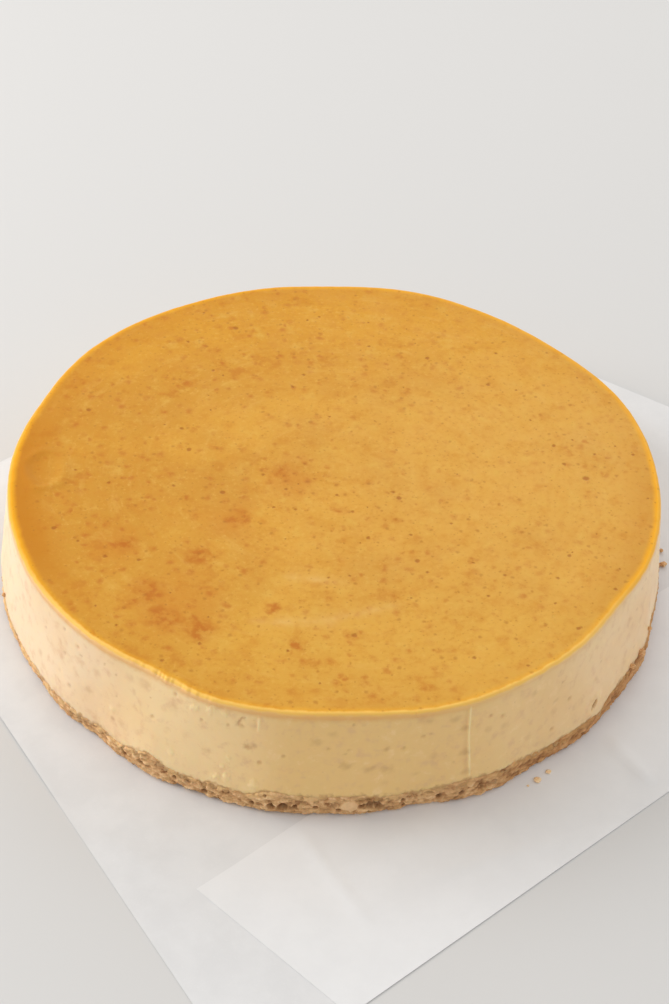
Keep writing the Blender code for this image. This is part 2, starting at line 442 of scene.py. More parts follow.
def custard_colour(g, ragged):
    """Cream to tan, clouded, with grey-brown specks of spice. Painted shade makes it yellower and darker
    towards the front, and painted light makes it paler at the left and lighter at the left front. Also
    gives the specks, for the bumps.
    """
    x, y = g.across()
    broad = g.noise(30 * MM, detail=2)
    colour = g.mix(g.span(broad, 0.35, 0.65), CUSTARD_CREAM, CUSTARD_TAN)
    # Painted shade: yellower and darker towards the front, away from the window light.
    sideways = g.maths("MAXIMUM", g.times(x, -1.3), g.times(x, 0.4))
    front_shade_measure = g.maths("ADD", sideways, g.times(y, 0.5))
    colour = g.mix(g.span(front_shade_measure, 20 * MM, -50 * MM), colour, CUSTARD_FRONT_PAINTED_SHADE)
    # Painted light: paler at the left, facing the window.
    painted_pale_left = g.span(x, -50 * MM, -95 * MM, 0.0, 0.45)
    colour = g.mix(painted_pale_left, colour, srgb(240, 217, 186))
    # Painted light: lighter at the left front, where the window's light falls off.
    painted_light_left_front = g.times(g.span(x, -75 * MM, -50 * MM), g.span(x, -8 * MM, -28 * MM))
    colour = g.tint(colour, painted_light_left_front, 0.60, srgb(255, 219, 160))
    streaks = g.noise(4.5 * MM, detail=4, roughness=0.6)
    colour = g.mix(g.span(streaks, 0.50, 0.74, 0.0, 0.50), colour, srgb(224, 180, 136))
    colour = g.mix(g.span(streaks, 0.46, 0.26, 0.0, 0.45), colour, srgb(254, 220, 168))
    speck = g.specks(6.2 * MM, 0.85 * MM, 0.30, ragged, 0.95)
    faint = g.specks(7.0 * MM, 2.6 * MM, 0.60, g.ragged(2.2 * MM, 2.6 * MM), 0.95)
    fine = g.specks(2.2 * MM, 0.45 * MM, 0.28, ragged, 0.9)
    colour = g.tint(colour, faint, 0.34, srgb(212, 166, 118))
    colour = g.tint(colour, fine, 0.24, srgb(190, 144, 96))
    colour = g.tint(colour, speck, 0.34, srgb(178, 128, 80))
    return colour, speck


def skin_ground(g, x, y, to_right, to_front, browner):
    """The skin's colour before its marks: golden to amber, with fine arcs, mottling and grain."""
    colour = g.mix(g.span(browner, 0.30, 0.75), SKIN_GOLD, SKIN_AMBER)
    colour = g.tint(colour, to_right, 0.50, SKIN_PALE)
    colour = g.tint(colour, g.span(y, 20 * MM, 100 * MM), 0.65, srgb(216, 152, 34))
    colour = g.tint(colour, to_front, 0.40, srgb(222, 170, 66))

    swirl = g.add("ShaderNodeCombineXYZ")
    squares = [g.maths("POWER", part, 2.0) for part in (x, y)]
    g.put(swirl.inputs["X"], g.times(x, 0.22))
    g.put(swirl.inputs["Y"], g.times(y, 0.22))
    g.put(swirl.inputs["Z"], g.maths("SQRT", g.maths("ADD", *squares)))
    arcs = g.noise(3.6 * MM, detail=3, roughness=0.6, place=swirl.outputs[0])
    mottle = g.noise(7 * MM, detail=4, roughness=0.62)
    grain = g.noise(1.5 * MM, detail=3, roughness=0.6)
    for field, low, high, share, other in (
        (arcs, 0.52, 0.74, 0.24, srgb(204, 134, 40)),
        (arcs, 0.46, 0.26, 0.26, srgb(226, 178, 88)),
        (mottle, 0.50, 0.70, 0.46, srgb(206, 138, 42)),
        (mottle, 0.48, 0.28, 0.40, srgb(223, 177, 80)),
        (grain, 0.52, 0.74, 0.36, srgb(196, 128, 40)),
        (grain, 0.44, 0.28, 0.28, srgb(230, 184, 92)),
    ):
        colour = g.mix(g.span(field, low, high, 0.0, share), colour, other)
    return colour


def skin_patches(g, colour, blotches, browner):
    """Clouds, patches and small spots where the skin baked browner, most of them at the left front."""
    clouds = g.blots(TOP_CLOUDS, g.ragged(9 * MM, 9 * MM), 1.0)
    colour = g.tint(colour, clouds, 0.42, srgb(203, 126, 36))
    patch = g.times(g.span(blotches, 0.55, 0.70), g.span(browner, 0.32, 0.85, 0.04, 0.55))
    colour = g.mix(patch, colour, SKIN_BROWN)
    cloudy = g.noise(3.2 * MM, detail=4, roughness=0.6)
    patch = g.blots(TOP_PATCHES, g.ragged(5 * MM, 7 * MM), 0.8)
    patch = g.times(patch, g.span(cloudy, 0.40, 0.62, 0.25, 0.85))
    colour = g.mix(patch, colour, srgb(190, 108, 26))
    spots = g.specks(5.0 * MM, 2.6 * MM, 0.55, g.ragged(2.4 * MM, 2.6 * MM), 0.95, flat=True)
    spots = g.times(spots, g.span(cloudy, 0.42, 0.60, 0.3, 1.0))
    spots = g.times(spots, g.span(browner, 0.25, 0.75, 0.28, 0.75))
    return g.mix(spots, colour, srgb(192, 112, 34))


def skin_margin(g, colour, inward, y, to_right, to_front):
    """A more orange margin, and a bright ring at the rim. Both are fainter at the front and back."""
    at_back = g.span(y, -5 * MM, 40 * MM)
    uneven = g.maths("MULTIPLY_ADD", g.noise(7 * MM, detail=3), 9 * MM, -4.5 * MM)
    margin = g.span(g.maths("ADD", inward, uneven), 18 * MM, 4 * MM)
    margin = g.times(margin, g.span(to_right, 0.0, 1.0, 0.90, 0.34))
    margin = g.times(margin, g.span(to_front, 0.0, 1.0, 1.0, 0.25))
    margin = g.times(margin, g.span(at_back, 0.0, 1.0, 1.0, 0.34))
    colour = g.mix(margin, colour, srgb(197, 125, 20))
    ring = g.span(g.maths("MULTIPLY_ADD", uneven, 0.14, inward), 3.9 * MM, 1.5 * MM)
    ring = g.times(ring, g.span(to_front, 0.0, 1.0, 0.92, 0.40))
    ring = g.times(ring, g.span(at_back, 0.0, 1.0, 1.0, 0.62))
    return g.mix(ring, colour, srgb(246, 174, 24))


def skin_lip(g, colour, inward, x, to_front, ragged):
    """A painted highlight along the rolled rim, and below it the custard's colour, with a band just under
    the rim that is partly the skin's orange and partly painted shade.
    """
    side_colour, _ = custard_colour(g, ragged)
    wander = g.span(g.noise(3.5 * MM, detail=2), 0.3, 0.7, -0.15 * MM, 0.15 * MM)
    down = g.maths("ADD", wander, inward)
    # A painted highlight along the rolled rim, stronger towards the front.
    pale = g.times(g.span(down, 2.10 * MM, 1.20 * MM), g.span(to_front, 0.0, 1.0, 0.25, 0.85))
    colour = g.mix(pale, colour, srgb(255, 206, 106))
    below = g.span(down, 0.7 * MM, -0.3 * MM)
    colour = g.mix(below, colour, side_colour)
    # Just under the rim: partly the skin's orange running down, partly painted shade, stronger at the
    # left.
    under_lip_orange_and_shade = g.times(below, g.span(x, 10 * MM, 65 * MM, 0.62, 0.20))
    return g.mix(under_lip_orange_and_shade, colour, srgb(236, 174, 98))


def browned_skin():
    """Baked custard: golden, mottled with orange and brown, and more orange towards the rim."""
    g = Graph("browned_custard")
    x, y = g.across()
    inward = g.attribute("inward")
    to_right = g.span(x, -100 * MM, 90 * MM)
    to_front = g.span(y, -30 * MM, -85 * MM)
    broad = g.noise(40 * MM, detail=2, roughness=0.55)
    browner = g.maths("ADD", g.times(broad, 1.4), g.times(to_right, -0.35))
    blotches = g.noise(9 * MM, detail=4, roughness=0.65)
    colour = skin_ground(g, x, y, to_right, to_front, browner)
    colour = skin_patches(g, colour, blotches, browner)
    colour = skin_margin(g, colour, inward, y, to_right, to_front)
    colour = g.tint(colour, g.attribute("streak"), 0.55, srgb(230, 188, 112))

    ragged = g.ragged(1.2 * MM, 0.9 * MM)
    dark = g.specks(9.0 * MM, 1.0 * MM, 0.14, ragged, 0.8, flat=True)
    # The listed specks are partly spice and partly painted shade in small pits, which the bump below also
    # sinks.
    dark = g.maths("MAXIMUM", dark, g.blots(TOP_SPECKS, ragged, 0.65))
    medium = g.specks(5.2 * MM, 1.1 * MM, 0.30, ragged, 0.9, flat=True)
    fine = g.specks(2.2 * MM, 0.60 * MM, 0.28, ragged, 0.9, flat=True)
    colour = g.tint(colour, fine, 0.42, srgb(180, 114, 36))
    colour = g.tint(colour, medium, 0.50, srgb(176, 108, 34))
    colour = g.tint(colour, dark, 0.62, srgb(158, 84, 22))
    colour = skin_lip(g, colour, inward, x, to_front, ragged)

    pits = g.specks(9 * MM, 0.8 * MM, 0.16, ragged, flat=True)
    normal = g.bump(g.noise(0.9 * MM, detail=3), 0.05 * MM, 0.6)
    normal = g.bump(g.maths("SUBTRACT", 1.0, g.maths("MAXIMUM", pits, dark)), 0.16 * MM, 0.7, normal)
    normal = g.bump(g.noise(6 * MM, detail=2), 0.12 * MM, 0.7, normal)
    rough = g.span(blotches, 0.3, 0.7, 0.48, 0.62)
    return g.finish(colour, rough, normal, Subsurface_Weight=0.12, Subsurface_Scale=0.0012,
                    Subsurface_Radius=(1.0, 0.45, 0.15), IOR=1.40, Specular_IOR_Level=0.24)


def custard():
    """Set custard, stained by the crumb at its foot, orange just under the rim (partly from the skin above
    it, partly painted shade), with painted shade in its hollows and a painted highlight on its seams.
    """
    g = Graph("pumpkin_custard")
    ragged = g.ragged(1.0 * MM, 0.7 * MM)
    colour, speck = custard_colour(g, ragged)
    uneven = g.maths("MULTIPLY_ADD", g.noise(1.7 * MM, detail=3), 1.6 * MM, -0.8 * MM)
    below_top = g.maths("ADD", g.attribute("below_top"), uneven)
    x, _ = g.across()
    # Partly the skin's orange running down, partly painted shade under the rim.
    under_lip_orange_and_shade = g.span(below_top, 4.0 * MM, 1.5 * MM, 0.0, 0.60)
    under_lip_orange_and_shade = g.times(under_lip_orange_and_shade, g.span(x, 10 * MM, 65 * MM, 1.0, 0.25))
    colour = g.mix(under_lip_orange_and_shade, colour, srgb(234, 173, 100))
    wander = g.span(g.noise(2.6 * MM, detail=3), 0.3, 0.7, -0.8 * MM, 0.8 * MM)
    stain = g.maths("ADD", g.attribute("above_crust"), wander)
    colour = g.mix(g.span(stain, 1.7 * MM, -0.3 * MM, 0.0, 0.85), colour, srgb(192, 144, 94))
    # Painted shade in the pits, the scratch, the notch and the step beside each seam.
    colour = g.mix(g.attribute("hollow"), colour, srgb(162, 102, 44))
    # Paler on the lumps, and a painted highlight along the seams' ridges.
    colour = g.mix(g.attribute("pale"), colour, srgb(252, 226, 170))
    colour = g.tint(colour, g.attribute("smudge"), 0.50, srgb(174, 120, 76))

    normal = g.bump(g.noise(1.4 * MM, detail=3), 0.05 * MM, 0.5)
    normal = g.bump(g.maths("SUBTRACT", 1.0, speck), 0.18 * MM, 0.7, normal)
    normal = g.bump(g.noise(9 * MM, detail=2), 0.16 * MM, 0.6, normal)
    return g.finish(colour, 0.48, normal, Subsurface_Weight=0.30, Subsurface_Scale=0.004,
                    Subsurface_Radius=(1.0, 0.55, 0.25), IOR=1.40, Specular_IOR_Level=0.4)


def biscuit():
    """Pressed biscuit crumb: each grain has its own brown, with small pale bits; painted shade darkens its
    cracks and holes, and makes it darker and redder at the right front.
    """
    g = Graph("biscuit_crumb")
    colour = g.ramp(
        g.attribute("tone"),
        (0.0, srgb(156, 108, 66)),
        (0.30, srgb(210, 163, 110)),
        (0.60, srgb(236, 191, 137)),
        (0.85, srgb(249, 211, 161)),
        (1.0, srgb(254, 226, 182)),
    )
    fine = g.noise(0.55 * MM, detail=4, roughness=0.7)
    colour = g.mix(g.span(fine, 0.42, 0.25, 0.0, 0.42), colour, srgb(156, 106, 66))
    colour = g.mix(g.span(fine, 0.58, 0.75, 0.0, 0.50), colour, srgb(244, 206, 156))
    patches = g.noise(5 * MM, detail=3)
    colour = g.mix(g.span(patches, 0.48, 0.68, 0.0, 0.32), colour, srgb(200, 146, 98))
    smear = g.times(g.attribute("near_custard"), g.span(patches, 0.56, 0.44))
    colour = g.tint(colour, smear, 0.70, srgb(232, 190, 130))
    # Painted shade: darker and redder where the crust faces away from the window, at the right front.
    colour = g.mix(g.attribute("redder_painted_shade"), colour, (0.74, 0.62, 0.50), "MULTIPLY")
    # Painted shade in the crust's holes and cracks.
    colour = g.tint(colour, g.attribute("hollow"), 0.72, srgb(108, 66, 34))
    normal = g.bump(g.noise(0.4 * MM, detail=4, roughness=0.7), 0.16 * MM, 0.9)
    return g.finish(colour, 0.82, normal, Subsurface_Weight=0.08, Subsurface_Scale=0.001, IOR=1.45)


def parchment_paper(name, layers):
    """Baking parchment: off-white, faintly clouded, with a soft sheen. Two layers are whiter."""
    g = Graph(name)
    cloud = g.noise(16 * MM, detail=4, roughness=0.6)
    thin, thick = (230, 233) if layers == 2 else (221, 226)
    colour = g.mix(g.span(cloud, 0.35, 0.65), srgb(thick, thick, thick), srgb(thin, thin, thin))
    fibre = g.noise(0.8 * MM, detail=3, roughness=0.7)
    colour = g.mix(g.span(fibre, 0.55, 0.75, 0.0, 0.25), colour, srgb(236, 236, 236))
    normal = g.bump(fibre, 0.03 * MM, 0.5)
    normal = g.bump(g.noise(22 * MM, detail=3), 0.5 * MM, 0.35, normal)
    return g.finish(colour, 0.42, normal, IOR=1.40)


# ---- the cake
def make_crust(material):
    """Pressed crumb: a rough side of packed grains with holes, over a flat underside."""
    angles = round_angles(columns=1900, close_ups=[(-95, 14)])
    levels = np.linspace(0.0, 1.0, 40)[:, None]
    top = junction_height(angles)[None, :] + 0.7 * MM
    heights = BASE + 0.15 * MM + levels * (top - BASE)
    spread = angles[None, :] + 0 * heights
    smooth = foot_radius(spread)
    points = on_circle(spread, smooth, heights)
    up = (heights - BASE) / MM

    chunk_angle, chunk_up, chunk_width = SMOOTH_CHUNK
    chunk_away = np.hypot(arc_from(chunk_angle, spread, FOOT_RADIUS), up - chunk_up) / chunk_width
    chunk = smoothstep(1.15, 0.75, chunk_away + 0.25 * fractal(points, 3 * MM, 2, 9))
    rough = 1 - chunk
    coarse_depth, coarse_tone = grains(points * (0.55, 0.55, 1.0), 1.6 * MM, 3)
    fine_depth, fine_tone = grains(points * (0.75, 0.75, 1.0), 0.85 * MM, 11)
    swell = fractal(points, 9 * MM, 3, 5)
    strata = fractal(points * (0.45, 0.45, 1.0), 1.7 * MM, 3, 41)
    gaps = smoothstep(0.30, 0.62, fractal(points * (0.8, 0.8, 1.2), 3.0 * MM, 3, 21))

    relief = 0.60 * (coarse_tone - 0.5) * coarse_depth + 0.14 * coarse_depth + 0.22 * strata
    relief += 0.34 * (fine_tone - 0.5) + 0.12 * fine_depth - 0.60 * gaps
    out = 0.35 * swell + rough * relief + 0.35 * chunk
    # hollow: painted shade in the gaps, in the grooves between strata, and in the holes below.
    hollow = rough * np.maximum(gaps * 0.55, 0.35 * smoothstep(-0.35, -0.75, strata))
    for degrees, hole_up, width, depth in CRUST_HOLES:
        away = np.hypot(arc_from(degrees, spread, FOOT_RADIUS), up - hole_up) / width
        dip = smoothstep(1.35, 0.55, away + 0.35 * fractal(points, 2.2 * MM, 2, 31))
        out -= depth * dip
        hollow = np.maximum(hollow, dip)
    foot = 0.13 + 0.12 * fractal(on_circle(angles, FOOT_RADIUS, BASE), 4 * MM, 3, 52)
    out -= 0.9 * smoothstep(foot, 0.0, levels) + 1.4 * smoothstep(0.92, 1.0, levels)

    # Partly each grain's own brown, partly painted light: tone uses the same fields as the relief, so
    # grains, swells and strata that stand out are lighter.
    tone = 0.62 * coarse_tone + 0.38 * fine_tone + 0.10 * swell + 0.22 * strata
    tone = np.clip(0.02 + 0.94 * tone, 0, 1) * rough + 0.72 * chunk
    # Painted shade in the cracks between the grains.
    cracks = 1 - np.clip(2.2 * np.minimum(coarse_depth, 1.4 * fine_depth), 0, 1)
    tone *= 1 - 0.34 * rough * cracks
    smear = smoothstep(3.4 * MM, 1.0 * MM, top - heights + 0.8 * MM * fractal(points, 3 * MM, 2, 61))
    # Painted shade: the crust darker and redder at the right front, away from the window.
    redder_painted_shade = smoothstep(-78, -48, np.degrees(angles)) * smoothstep(40, 0, np.degrees(angles))

    inner = foot_radius(angles) - 5 * MM
    rows = [
        on_circle(angles, 0.5 * inner, BASE + 0.05 * MM),
        on_circle(angles, inner + 2.5 * MM, BASE + 0.05 * MM),
        *on_circle(spread, smooth + (out - 0.05) * MM, heights),
        on_circle(angles, inner, top[0] - 1.2 * MM),
        on_circle(angles, inner - 10 * MM, BASE + 2.0 * MM),
    ]
    fields = {"tone": tone - 0.5, "hollow": hollow, "near_custard": smear}
    attributes = {name: np.pad(values, ((2, 2), (0, 0))) for name, values in fields.items()}
    attributes["tone"] += 0.5
    attributes["redder_painted_shade"] = np.tile(redder_painted_shade, (len(rows), 1))
    return lathe("crust", np.array(rows), material, attributes)


def side_swell(points):
    """Soft unevenness of the side, in mm out, shared by the custard and the skin's lip."""
    return 0.26 * fractal(points, 26 * MM, 3, 2) + 0.07 * fractal(points, 6 * MM, 3, 8) - 0.15


def seam_marks(angles, heights):
    """Upright ridges left by the ring's clasp, in mm out, with a slight step beside each."""
    out = np.zeros_like(heights)
    down = (TOP - heights) / MM
    for degrees, low, high, height in SEAMS:
        along = arc_from(degrees, angles, RIM_RADIUS) + 0.35 * np.sin(down / 7)
        fade = smoothstep(low, low - 3, down) * smoothstep(high - 1, high + 1, down)
        out += height * fade * np.exp(-0.5 * (along / 0.26) ** 2)
        out -= 0.25 * height * fade * np.exp(-0.5 * ((along + 1.0) / 0.6) ** 2)
    return out


def mark_side(angles, down, ragged, out, hollow, pale):
    """Pits, lumps, smudges, a scratch and a notch, by angle and mm below the top.

    Changes out, hollow and pale where they are, and gives how smudged the side is. In hollow, the pits,
    the scratch and the notch get painted shade.
    """
    arc = arc_from(0, angles, RIM_RADIUS)
    rng = random.Random(7)
    for _ in range(SIDE_PITS):
        pit_arc = rng.uniform(-math.pi, math.pi) * RIM_RADIUS / MM
        pit_down = rng.uniform(4, 30)
        size = rng.uniform(0.45, 1.0)
        pit = smoothstep(1.2, 0.2, np.hypot(arc - pit_arc, down - pit_down) / size)
        out -= 0.28 * size * pit
        # Painted shade in the pit.
        np.maximum(hollow, 0.35 * pit, out=hollow)

    def arc_at(degrees):
        return arc - math.radians(degrees) * RIM_RADIUS / MM

    for degrees, lump_down, size, height in SIDE_LUMPS:
        away = np.hypot(arc_at(degrees), 0.8 * (down - lump_down)) / size
        lump = smoothstep(1.4, 0.2, away + 0.8 * ragged)
        out += height * lump
        np.maximum(pale, 0.22 * lump, out=pale)
    smudge = np.zeros_like(out)
    for degrees, smudge_down, size, strength in SIDE_SMUDGES:
        away = np.hypot(0.8 * arc_at(degrees), down - smudge_down) / size
        smudge = np.maximum(smudge, strength * smoothstep(1.7, 0.0, away + 0.7 * ragged))
    out -= 0.20 * smoothstep(0.65, 1.0, smudge)

    scratch_arc = arc_at(SCRATCH[0])
    scratch = np.hypot(scratch_arc, down - SCRATCH[1]) + 0.9 * ragged
    mark = np.exp(-0.5 * ((scratch - 1.5) / 0.42) ** 2) * smoothstep(1.1, -0.6, scratch_arc)
    mark *= smoothstep(9.2, 6.8, down)
    out -= 0.34 * mark
    # Painted shade in the scratch.
    np.maximum(hollow, 0.42 * mark, out=hollow)
    notch_down = down - NOTCH[1]
    slant = arc_at(NOTCH[0]) + 0.7 * notch_down
    notch = np.hypot(0.66 * slant, 0.60 * notch_down) / 0.9 + 0.3 * ragged
    out += 0.40 * np.exp(-0.5 * ((notch - 1.5) / 0.5) ** 2) - 1.3 * smoothstep(1.1, 0.4, notch)
    # Painted shade in the notch.
    np.maximum(hollow, smoothstep(1.2, 0.5, notch), out=hollow)
    return smudge


def make_filling(material):
    """The custard's side: smooth, with soft swells, small pits, seams, smears and a ragged foot."""
    close_ups = [(-67, 0.7), (-101.5, 3.0), (-110, 2.0), (NOTCH[0], 1.2)]
    angles = round_angles(1240, close_ups)
    levels = np.linspace(0.0, 1.0, 62)[:, None]
    low = junction_height(angles)[None, :] - 1.9 * MM
    high = TOP - 1.1 * MM
    heights = low + levels * (high - low)
    spread = angles[None, :] + 0 * heights
    smooth = side_radius(spread, heights)
    points = on_circle(spread, smooth, heights)
    above = heights - junction_height(spread)
    down = (TOP - heights) / MM

    ragged = fractal(points, 1.6 * MM, 3, 17)
    torn = 0.6 * fractal(points, 4 * MM, 3, 15) + 0.4 * ragged - 0.3
    out = side_swell(points) + smoothstep(1.0 * MM, -1.6 * MM, above) * torn
    out += 0.24 * smoothstep(2.4 * MM, 0.0, above) * ragged
    seams = seam_marks(spread, heights)
    out += seams
    # A painted highlight along each seam's ridge, and painted shadow in the slight step beside it.
    pale = np.clip(2.2 * seams, 0, 0.7)
    hollow = np.clip(-0.8 * seams, 0, 0.2)
    smudge = mark_side(spread, down, ragged, out, hollow, pale)
    out -= 0.6 * smoothstep(1.7, 0.9, down)

    inner = foot_radius(angles)
    rim = rim_radius(angles)
    rows = [
        on_circle(angles, inner - 16 * MM, BASE + 2.2 * MM),
        on_circle(angles, inner - 4.5 * MM, low[0] - 0.1 * MM),
        *on_circle(spread, smooth + out * MM, heights),
        on_circle(angles, rim - 2.5 * MM, high),
        on_circle(angles, 0.5 * rim, high),
    ]
    fields = {"above_crust": above, "below_top": TOP - heights, "hollow": hollow, "pale": pale}
    fields["smudge"] = smudge
    attributes = {name: np.pad(values, ((2, 2), (0, 0))) for name, values in fields.items()}
    attributes["above_crust"][-2:] = 20 * MM
    attributes["below_top"][:2] = 20 * MM
    return lathe("custard_filling", np.array(rows), material, attributes)


def top_streaks(points):
    """How pale the drawn-out streaks of the top are at each point, 0 to 1."""
    x, y = points[..., 0] / MM, points[..., 1] / MM
    pale = sum(crease(x, y, start, end, 0.9, 1.5) for start, end in TOP_STREAKS)
    return np.clip(pale * (0.8 + 0.6 * fractal(points, 5 * MM, 3, 33)), 0, 1)


def top_height(points):
    """The browned top's surface: nearly level, with soft swells, a ringed dent and low streaks."""
    x, y = points[..., 0] / MM, points[..., 1] / MM
    height = 0.30 * fractal(points, 60 * MM, 2, 4) + 0.10 * fractal(points, 14 * MM, 3, 6)
    height += 0.025 * fractal(points, 3 * MM, 2, 12)
    dent = np.hypot((x - DENT[0]) / 6.8, (y - DENT[1]) / 9.7) + 0.22 * fractal(points, 8 * MM, 3, 27)
    height -= 0.35 * smoothstep(1.1, 0.4, dent)
    near_side = smoothstep(10, -2, y + x - DENT[0])
    height += 0.50 * near_side * np.exp(-0.5 * ((dent - 1.05) / 0.14) ** 2)
    height -= 0.10 * top_streaks(points)
    return height * MM


def make_top(material):
    """The browned skin: a thin sheet over the custard that rolls over the rim and ends just below it."""
    angles = round_angles(columns=900, close_ups=[(-100, 14)])
    at_rim = on_circle(angles, RIM_RADIUS, TOP)
    lip = LIP_DEPTH + 0.4 * MM * fractal(at_rim, 7 * MM, 3, 3)
    torn = np.exp(-0.5 * (wrapped(np.degrees(angles) - TORN_LIP[0]) / TORN_LIP[1]) ** 2)
    torn = torn * np.clip(fractal(at_rim, 1.9 * MM, 2, 14) * 2.0, -0.6, 1.0)
    flutter = 0.10 * fractal(at_rim, 5 * MM, 3, 19) + 0.45 * torn
    rim = rim_radius(angles) + (side_swell(at_rim) + flutter) * MM
    level = TOP - 0.05 * MM
    rows, inwards = [], []

    def ring(radii, heights, inward):
        rows.append(on_circle(angles, radii, heights + 0 * angles))
        inwards.append(inward + 0 * angles)

    ring(0.5 * rim, TOP - ROLLED_EDGE, -lip)
    ring(rim - 2.0 * MM, TOP - ROLLED_EDGE, -lip)
    for share in (1.0, 0.96, 0.85, 0.7, 0.55, ROLLED_EDGE / LIP_DEPTH):
        tuck = 0.66 * (share == 1.0) + 0.06 * (share == 0.96)
        height = TOP - lip * share
        smooth = side_radius(angles, height)
        proud = side_swell(on_circle(angles, smooth, height)) + 0.03 - tuck + flutter * (1 - share)
        ring(smooth + proud * MM, height, ROLLED_EDGE - lip * share)
    for turn in np.radians((12, 27, 42, 57, 73, 90)):
        radii = rim - ROLLED_EDGE * (1 - math.cos(turn))
        ring(radii, level - ROLLED_EDGE * (1 - math.sin(turn)) + 0.30 * torn * MM, turn * ROLLED_EDGE)
    for distance in np.concatenate([np.geomspace(1.5, 9, 10), np.arange(10.4, 107.5, 1.32)]) * MM:
        rise = top_height(on_circle(angles, rim - distance, TOP)) * smoothstep(0.5 * MM, 9 * MM, distance)
        rise += 0.30 * torn * MM * max(0, 1 - distance / (2.5 * MM))
        ring(rim - distance, level + rise, distance + ROLLED_EDGE * (math.pi / 2 - 1))
    attributes = {"inward": np.array(inwards), "streak": top_streaks(np.array(rows))}
    return lathe("browned_top", np.array(rows), material, attributes)


def make_crumb(node, material):
    """A crumb of the crust, of its solid's size and place, set on the cake's side or on the paper."""
    low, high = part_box(node)
    middle, half = (low + high) / 2, (high - low) / 2
    if node.startswith("clinging"):
        angle = np.array(math.atan2(middle.y, middle.x))
        reach = float(side_radius(angle, np.array(middle.z))) + 0.3 * max(half)
        middle = Vector((reach * math.cos(angle), reach * math.sin(angle), middle.z))
    else:
        paper_height = sheet_height if node.startswith("sheet") else strip_height
        middle.z = float(paper_height(np.array([middle]))[0]) + PAPER_THICKNESS + half.z - 0.03 * MM
    lump = bmesh.new()
    bmesh.ops.create_icosphere(lump, subdivisions=5, radius=1)
    start = np.array([v.co for v in lump.verts])
    points = start * max(half) + random.Random(node).uniform(0, 0.5)
    depth, tone = grains(points, 0.9 * MM, 5)
    out = 1 + 0.34 * fractal(points, 1.4 * MM, 4, 6) + 0.24 * (tone - 0.5) * depth - 0.12 * (1 - depth)
    shaped = start * out[:, None] * np.array(half)
    if node.startswith("strip"):
        shaped[:, 2] = 0.40 * shaped[:, 2] - 0.60 * half.z
    shaped[:, 2] = np.maximum(shaped[:, 2], -half.z)
    for vertex, co in zip(lump.verts, shaped + np.array(middle)):
        vertex.co = co
    mesh = bpy.data.meshes.new(node)
    lump.to_mesh(mesh)
    lump.free()
    pale = 0.72 if node.startswith("strip") else 0.35
    # Each grain's own brown, darker at its edges: painted shade in the cracks between grains.
    tones = pale + 0.55 * tone * np.clip(2 * depth, 0.4, 1)
    # Crumbs on the cake's side get half of the crust's painted shade.
    redder_painted_shade = np.full_like(tones, 0.5 if node.startswith("clinging") else 0.0)
    for label, values in (("tone", tones), ("redder_painted_shade", redder_painted_shade)):
        layer = mesh.attributes.new(label, "FLOAT", "POINT")
        layer.data.foreach_set("value", values.astype(np.float32))
    return new_object(node + "_grain", mesh, material)


# ---- the parchment
def outline_of(node):
    """The corners of a flat node in plan, anticlockwise."""
    points = [v.co.xy for v in frame["nodes"][node].data.vertices]
    hull = [points[i].copy() for i in geometry.convex_hull_2d(points)]
    return [p for p, before in zip(hull, hull[-1:] + hull) if (p - before).length > MM]


def area_of(corners):
    """The area in square metres within these corners."""
    pairs = zip(corners, corners[1:] + corners[:1])
    return abs(sum(a.x * b.y - b.x * a.y for a, b in pairs)) / 2


def crease(x, y, start, end, height, width):
    """A soft ridge from start to end, in mm, this high along its middle."""
    start, end = np.array(start, float), np.array(end, float)
    along = end - start
    length = np.hypot(*along)
    along /= length
    t = (x - start[0]) * along[0] + (y - start[1]) * along[1]
    across = -(x - start[0]) * along[1] + (y - start[1]) * along[0]
    fade = smoothstep(-0.12 * length, 0.2 * length, t) * smoothstep(1.12 * length, 0.8 * length, t)
    return height * fade * np.exp(-np.abs(across) / width)


def depth_within(points, corners):
    """How far each point lies inside the nearest of the corners' sides, in metres."""
    depths = []
    for a, b in zip(corners, corners[1:] + corners[:1]):
        outward = np.array(((b - a).y, -(b - a).x)) / (b - a).length
        depths.append((np.array(a) - points[:, :2]) @ outward)
    return np.min(depths, axis=0)


def sheet_height(points):
    """The height of the sheet's underside, which has soft waves and creases clear of the cake.

    It rises a little to the cake's foot, and is level where the strip slides over it.
    """
    x, y = points[:, 0] / MM, points[:, 1] / MM
    away = np.hypot(x, y) - FOOT_RADIUS / MM
    clear = smoothstep(-1, 22, away)
    raised = (BASE / MM - 0.27) * smoothstep(24, -2, away)
    free = smoothstep(80, 60, x * STRIP_PULL[0] + y * STRIP_PULL[1])
    within = smoothstep(0, 16 * MM, depth_within(points, outline_of("parchment_sheet")))
    lift = within * (0.45 + 0.6 * fractal(points, 70 * MM, 3, 23))
    for start, end, height, width in SHEET_CREASES:
        lift += (0.3 + 0.7 * within) * crease(x, y, start, end, height, width)
    to_far_corner = 0.755 * x + 0.656 * y
    curl = smoothstep(105, 150, to_far_corner) * smoothstep(-20, 20, y)
    return (0.05 + raised + free * np.maximum(clear * (lift + 2.0 * curl), 0)) * MM


def strip_height(points):
    """The height of the strip's underside: it lies on the sheet, and has waves and creases of its own."""
    x, y = points[:, 0] / MM, points[:, 1] / MM
    clear = smoothstep(-1, 12, np.hypot(x, y) - FOOT_RADIUS / MM)
    within = smoothstep(0, 14 * MM, depth_within(points, outline_of("parchment_strip")))
    lift = 0.4 * within * (0.6 + 0.6 * np.clip(fractal(points, 55 * MM, 3, 29), -1, 1))
    for start, end, height, width in STRIP_CREASES:
        lift += crease(x, y, start, end, height, width)
    return sheet_height(points) + (0.12 + clear * lift) * MM


